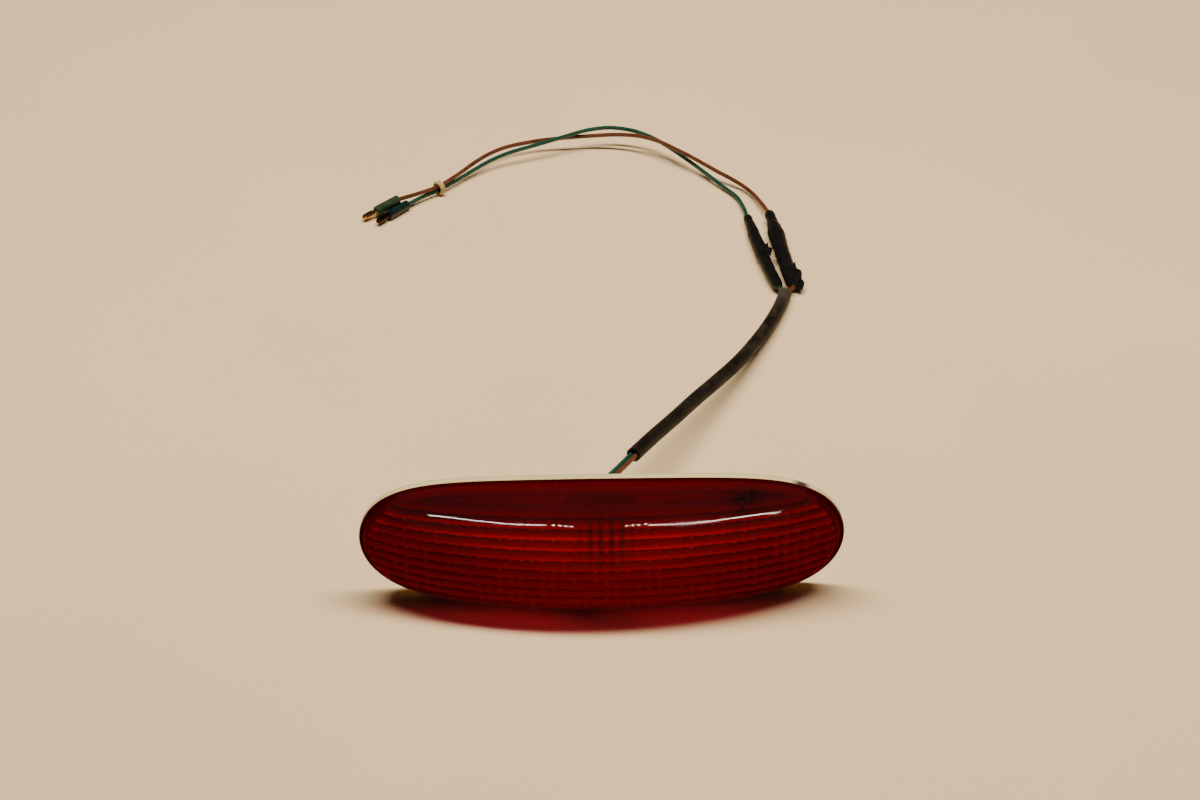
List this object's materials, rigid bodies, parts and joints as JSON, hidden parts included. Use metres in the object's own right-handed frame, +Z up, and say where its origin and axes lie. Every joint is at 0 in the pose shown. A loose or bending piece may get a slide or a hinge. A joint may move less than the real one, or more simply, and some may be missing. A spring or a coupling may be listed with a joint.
{
  "type": "high-mount stop lamp",
  "caption": "Oval red-lensed third brake light with a rear bulb holder, threaded mounting studs and a two-wire harness ending in bullet terminals.",
  "frame": {"origin": "bottom centre of the lamp's box without its free harness, on the surface that it stands on", "axes": "+X along the lamp, +Y out of its mounting face, away from the lens, +Z up"},
  "size_m": [0.275, 0.4935, 0.072],
  "materials": {
    "lens_red": "gloss, transparent red acrylic",
    "seal_black": "matte",
    "housing_cream": "satin moulded",
    "foam_pale": "matte closed-cell foam",
    "zinc_steel": "zinc plated",
    "reflector_metallised": "vacuum metallised plastic",
    "bulb_clear": "clear",
    "cap_brass": "nickel plated brass",
    "vitrite_black": "gloss black",
    "solder": "satin",
    "tungsten": "satin",
    "nylon_grey": "moulded",
    "rubber_black": "matte",
    "brass_bright": "satin",
    "brass_dark": "tarnished",
    "phenolic_brown": "matte",
    "spring_steel": "bright",
    "wire_green": "satin PVC",
    "wire_brown": "satin PVC",
    "tube_black": "worn PVC",
    "tape_black": "satin PVC tape",
    "nylon_natural": "aged natural nylon",
    "sleeve_green": "satin PVC"
  },
  "bodies": {
    "root": {"lens": "lens_red", "lens_seal": "seal_black", "housing": "housing_cream", "mounting_gasket": "foam_pale", "mounting_studs": "zinc_steel", "reflector": "reflector_metallised", "reflector_screws": "zinc_steel", "pigtail_green": "wire_green", "pigtail_brown": "wire_brown", "harness_tube": "tube_black", "splice_green": "tape_black", "splice_brown": "tape_black", "lead_green": "wire_green", "lead_brown": "wire_brown", "wire_ring": "nylon_natural", "bullet_sleeve_green": "sleeve_green", "bullet_sleeve_brown": "sleeve_green", "bullet_pin_green": "brass_dark", "bullet_pin_brown": "brass_bright"},
    "holder": {"holder_body": "nylon_grey", "holder_seal": "rubber_black", "holder_shell": "brass_bright", "holder_grommet": "rubber_black", "holder_leads": "wire_green", "contact_spring": "spring_steel"},
    "plunger": {"plunger_disc": "phenolic_brown", "plunger_contact": "brass_bright"},
    "bulb": {"bulb_glass": "bulb_clear", "bulb_cap": "cap_brass", "bulb_insulator": "vitrite_black", "bulb_contact": "solder", "bulb_stem": "bulb_clear", "bulb_supports": "tungsten", "bulb_filament": "tungsten"}
  },
  "joints": [
    {"name": "holder_twist", "type": "hinge", "parent": "root", "child": "holder", "pos_m": [0, 0.0085, 0.036], "axis": [0, 1, 0], "range_deg": [0, 45]},
    {"name": "bulb_push", "type": "slide", "parent": "holder", "child": "plunger", "axis": [0, 1, 0], "range_m": [0, 0.002], "stiffness_N_per_m": 2000, "springref_m": -0.004, "deforming": ["contact_spring"]},
    {"name": "bulb_twist", "type": "hinge", "parent": "plunger", "child": "bulb", "pos_m": [0, 0.014, 0.036], "axis": [0, -1, 0], "range_deg": [0, 18]}
  ]
}
